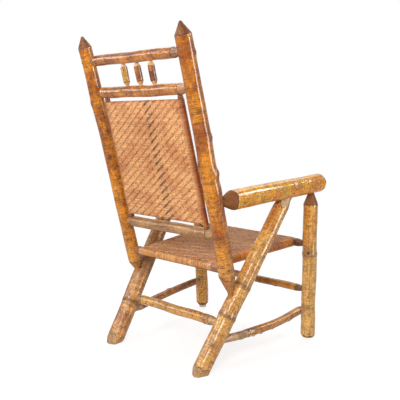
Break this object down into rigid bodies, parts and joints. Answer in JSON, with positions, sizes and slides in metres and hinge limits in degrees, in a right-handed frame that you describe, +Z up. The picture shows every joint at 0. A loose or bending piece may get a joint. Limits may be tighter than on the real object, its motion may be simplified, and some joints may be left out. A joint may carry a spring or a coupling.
{
  "type": "rustic pole armchair",
  "caption": "High-backed rustic armchair of bark-covered poles tenoned together, with sloping arm braces, a leaning woven back panel and a woven seat.",
  "frame": {"origin": "centre of the chair's bounding box, on the floor", "axes": "+Z up; the chair faces -Y; the sitter's left is +X"},
  "size_m": [0.642, 0.6723, 1.0907],
  "materials": {
    "bark_pole": "glossy lacquered bark, amber, ringed and mottled",
    "arm_bark": "glossy lacquered bark, golden amber",
    "rail_bark": "glossy lacquered bark, reddish amber",
    "peeled_pole": "satin greyish tan with dark streaks",
    "dark_pole": "glossy dark reddish brown",
    "stained_pole": "satin, stained nearly black",
    "woven_cane": "satin woven cane, caramel tan",
    "nail": "dull, dark with age",
    "glide": "matte, pale cream"
  },
  "bodies": {
    "root": {"left_back_post": "bark_pole", "right_back_post": "bark_pole", "left_rear_leg": "bark_pole", "right_rear_leg": "bark_pole", "left_front_leg": "bark_pole", "right_front_leg": "bark_pole", "left_arm": "arm_bark", "right_arm": "arm_bark", "crest_rail": "rail_bark", "upper_back_rail": "rail_bark", "lower_back_rail": "peeled_pole", "left_spindle": "dark_pole", "centre_spindle": "dark_pole", "right_spindle": "dark_pole", "left_panel_rod": "dark_pole", "right_panel_rod": "dark_pole", "top_panel_rod": "dark_pole", "bottom_panel_rod": "dark_pole", "back_weave": "woven_cane", "rear_seat_rail": "rail_bark", "front_seat_rail": "stained_pole", "left_seat_rail": "rail_bark", "right_seat_rail": "rail_bark", "seat_weave": "woven_cane", "rear_stretcher": "bark_pole", "front_stretcher": "bark_pole", "left_stretcher": "bark_pole", "right_stretcher": "bark_pole", "left_glide": "glide", "right_glide": "glide", "joint_nails": "nail", "weave_tacks": "nail"}
  },
  "joints": []
}
